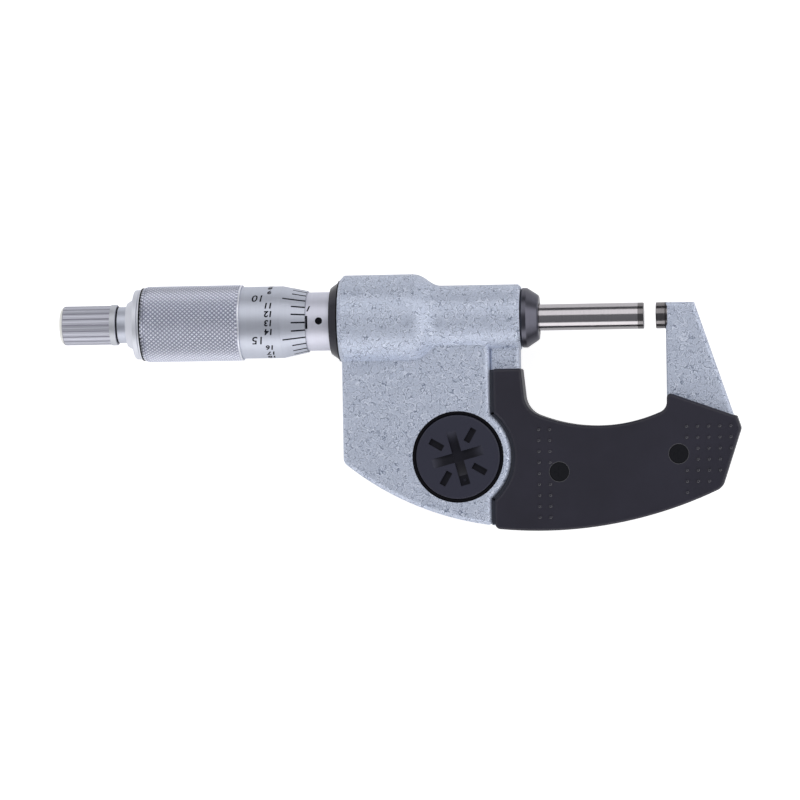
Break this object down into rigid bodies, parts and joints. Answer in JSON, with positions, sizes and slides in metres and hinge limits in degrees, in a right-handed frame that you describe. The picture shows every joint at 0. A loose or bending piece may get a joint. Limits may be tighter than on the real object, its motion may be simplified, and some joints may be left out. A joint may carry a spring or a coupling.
{
  "type": "digital outside micrometer",
  "caption": "Outside micrometer with a U-shaped frame, anvil and screw-fed spindle, knurled thimble, ratchet stop, battery cap at the back and a display head with push keys.",
  "frame": {"origin": "centre of the anvil's measuring face", "axes": "+X along the spindle's axis, out of the anvil's arm; +Y from the bow up towards the spindle's axis; +Z out of the flat back, away from the display"},
  "size_m": [0.1647, 0.0622, 0.024],
  "materials": {
    "frame_enamel": "bluish grey hammertone enamel",
    "carbide": "lapped carbide",
    "cover_plastic": "dark slate moulded plastic",
    "black_screw": "blackened steel",
    "insert_brass": "plain",
    "cap_plastic": "slate moulded plastic",
    "seal_rubber": "smooth black",
    "battery_steel": "plated can",
    "holder_plastic": "moulded plastic",
    "contact_metal": "spring bronze",
    "bezel_plastic": "dark slate moulded plastic",
    "window_plastic": "clear",
    "lcd_glass": "grey green panel",
    "strip_rubber": "layered contact rubber",
    "board": "green laminate",
    "mat_rubber": "thin silicone mat",
    "key_plastic": "light grey keys",
    "port_plastic": "black moulded plastic",
    "nut_black": "black finish",
    "ground_steel": "ground steel",
    "satin_chrome": "satin chrome plate",
    "grip_chrome": "satin chrome plate, knurled",
    "ratchet_metal": "satin anodised",
    "clamp_metal": "dark anodised",
    "encoder_board": "laminate with copper pattern",
    "felt": "felt wiper",
    "spring_steel": "spring steel"
  },
  "bodies": {
    "frame_body": {"frame": "frame_enamel", "anvil": "ground_steel", "anvil_tip": "carbide", "heat_cover_back": "cover_plastic", "heat_cover_front": "cover_plastic", "cover_screws": "black_screw", "cover_inserts": "insert_brass", "battery": "battery_steel", "battery_holder": "holder_plastic", "battery_contact": "contact_metal", "display_bezel": "bezel_plastic", "display_gasket": "seal_rubber", "display_window": "window_plastic", "lcd_panel": "lcd_glass", "contact_strip": "strip_rubber", "circuit_board": "board", "key_mat": "mat_rubber", "bezel_screws": "black_screw", "data_port_cover": "port_plastic", "data_port_screws": "black_screw", "data_connector": "port_plastic", "barrel_nut": "nut_black", "inner_sleeve": "ground_steel", "adjusting_nut": "ground_steel", "encoder_stator": "encoder_board", "encoder_lead": "encoder_board", "spindle_bush": "ground_steel", "wiper_seal": "felt", "clamp_collet": "ground_steel"},
    "sleeve_body": {"sleeve": "satin_chrome"},
    "clamp_body": {"clamp_ring": "clamp_metal"},
    "rotor_body": {"rotor_bush": "ground_steel", "rotor_key": "ground_steel", "encoder_rotor": "encoder_board"},
    "spindle_body": {"spindle": "ground_steel", "spindle_tip": "carbide", "thimble": "satin_chrome", "thimble_grip": "grip_chrome", "thimble_cap": "satin_chrome", "ratchet_seat": "satin_chrome", "ratchet_screw": "ground_steel"},
    "ratchet_body": {"ratchet_cap": "ratchet_metal", "ratchet_crown": "ground_steel", "ratchet_spring": "spring_steel"},
    "cap_ring_body": {"cap_seal_ring": "seal_rubber"},
    "cap_body": {"battery_cap": "cap_plastic"},
    "key_origin_body": {"key_origin": "key_plastic"},
    "key_unit_body": {"key_unit": "key_plastic"},
    "key_zero_body": {"key_zero": "key_plastic"},
    "key_hold_body": {"key_hold": "key_plastic"}
  },
  "joints": [
    {"name": "thimble_turn", "type": "hinge", "parent": "frame_body", "child": "rotor_body", "pos_m": [-0.066, 0, 0], "axis": [-1, 0, 0], "range_deg": [-1622, 12768]},
    {"name": "spindle_feed", "type": "slide", "parent": "rotor_body", "child": "spindle_body", "axis": [-1, 0, 0], "range_m": [-0.00286, 0.02252]},
    {"name": "ratchet_turn", "type": "hinge", "parent": "spindle_body", "child": "ratchet_body", "pos_m": [-0.137, 0, 0], "axis": [1, 0, 0], "continuous": true},
    {"name": "sleeve_adjust", "type": "hinge", "parent": "frame_body", "child": "sleeve_body", "pos_m": [-0.09, 0, 0], "axis": [1, 0, 0], "range_deg": [-15, 15]},
    {"name": "clamp_turn", "type": "hinge", "parent": "frame_body", "child": "clamp_body", "pos_m": [-0.03, 0, 0], "axis": [1, 0, 0], "range_deg": [0, 30]},
    {"name": "battery_cap_lift", "type": "slide", "parent": "frame_body", "child": "cap_ring_body", "axis": [0, 0, 1], "range_m": [0, 0.00225]},
    {"name": "battery_cap_turn", "type": "hinge", "parent": "cap_ring_body", "child": "cap_body", "pos_m": [-0.0478, -0.0332, 0], "axis": [0, 0, 1], "range_deg": [0, 1080.1]},
    {"name": "key_origin_press", "type": "slide", "parent": "frame_body", "child": "key_origin_body", "axis": [0, 0, 1], "range_m": [0, 0.0004], "stiffness_N_per_m": 1500},
    {"name": "key_unit_press", "type": "slide", "parent": "frame_body", "child": "key_unit_body", "axis": [0, 0, 1], "range_m": [0, 0.0004], "stiffness_N_per_m": 1500},
    {"name": "key_zero_press", "type": "slide", "parent": "frame_body", "child": "key_zero_body", "axis": [0, 0, 1], "range_m": [0, 0.0004], "stiffness_N_per_m": 1500},
    {"name": "key_hold_press", "type": "slide", "parent": "frame_body", "child": "key_hold_body", "axis": [0, 0, 1], "range_m": [0, 0.0004], "stiffness_N_per_m": 1500}
  ],
  "couplings": [
    {"joint": "thimble_turn", "follows": "spindle_feed", "rad_per_m": 9894.8},
    {"joint": "battery_cap_turn", "follows": "battery_cap_lift", "rad_per_m": 8377.6}
  ]
}
